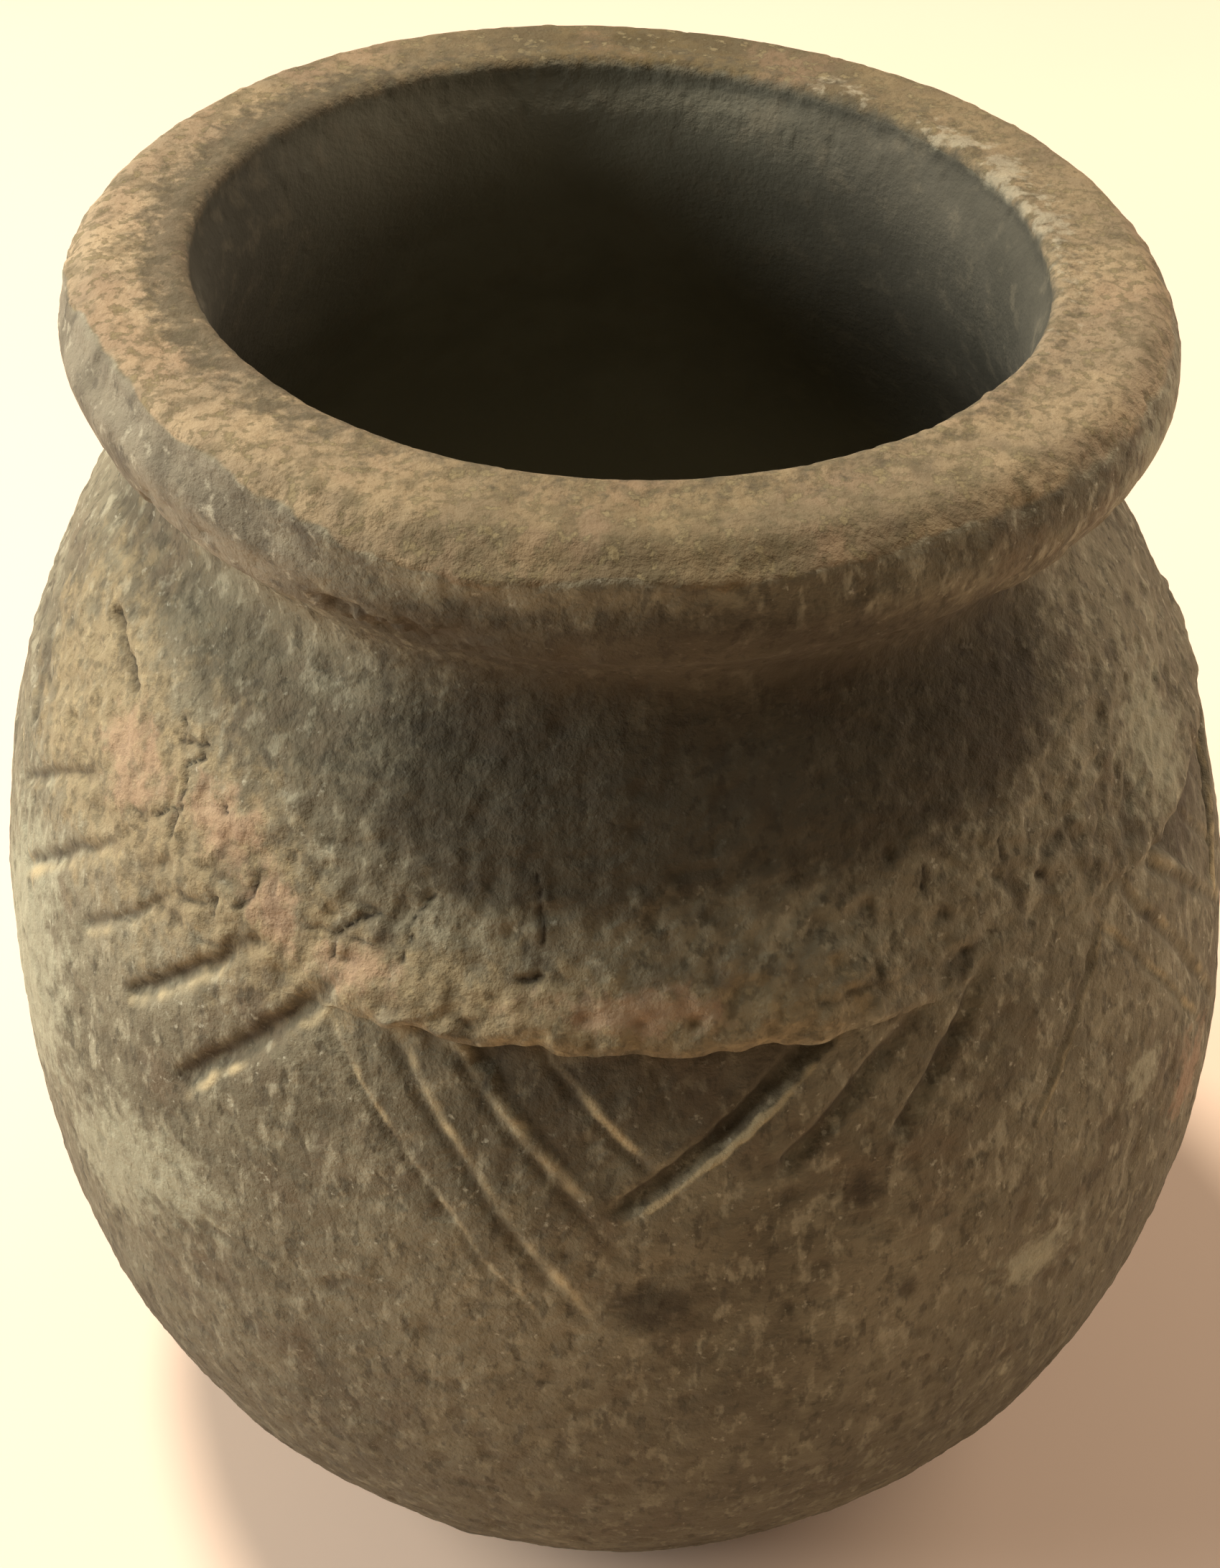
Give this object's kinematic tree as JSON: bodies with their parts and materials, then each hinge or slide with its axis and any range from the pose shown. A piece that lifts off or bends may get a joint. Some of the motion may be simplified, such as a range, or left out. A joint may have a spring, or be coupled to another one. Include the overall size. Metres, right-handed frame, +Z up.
{
  "type": "black clay jar",
  "caption": "Pear-shaped hand-built black clay jar with a wide mouth, a thick everted rim, a short neck, a shoulder ledge and an incised zigzag band.",
  "frame": {"origin": "centre of the flat base, on the surface the jar stands on", "axes": "+Z up along the axis of the jar; -Y is the front, where the first incised zigzag is"},
  "size_m": [0.1548, 0.1548, 0.17],
  "materials": {
    "body_clay": "matt, unglazed, smoke-blackened clay with sandy grain, buff and reddish patches and dark stains",
    "rim_clay": "matt, unglazed, worn tan clay with coarse grain, paler deposits at the edges"
  },
  "bodies": {
    "root": {"base_disc": "body_clay", "lower_wall_coil": "body_clay", "middle_wall_coil": "body_clay", "lower_belly_coil": "body_clay", "upper_belly_coil": "body_clay", "lower_shoulder_coil": "body_clay", "ledge_coil": "body_clay", "neck_coil": "body_clay", "rim_coil": "rim_clay"}
  },
  "joints": []
}
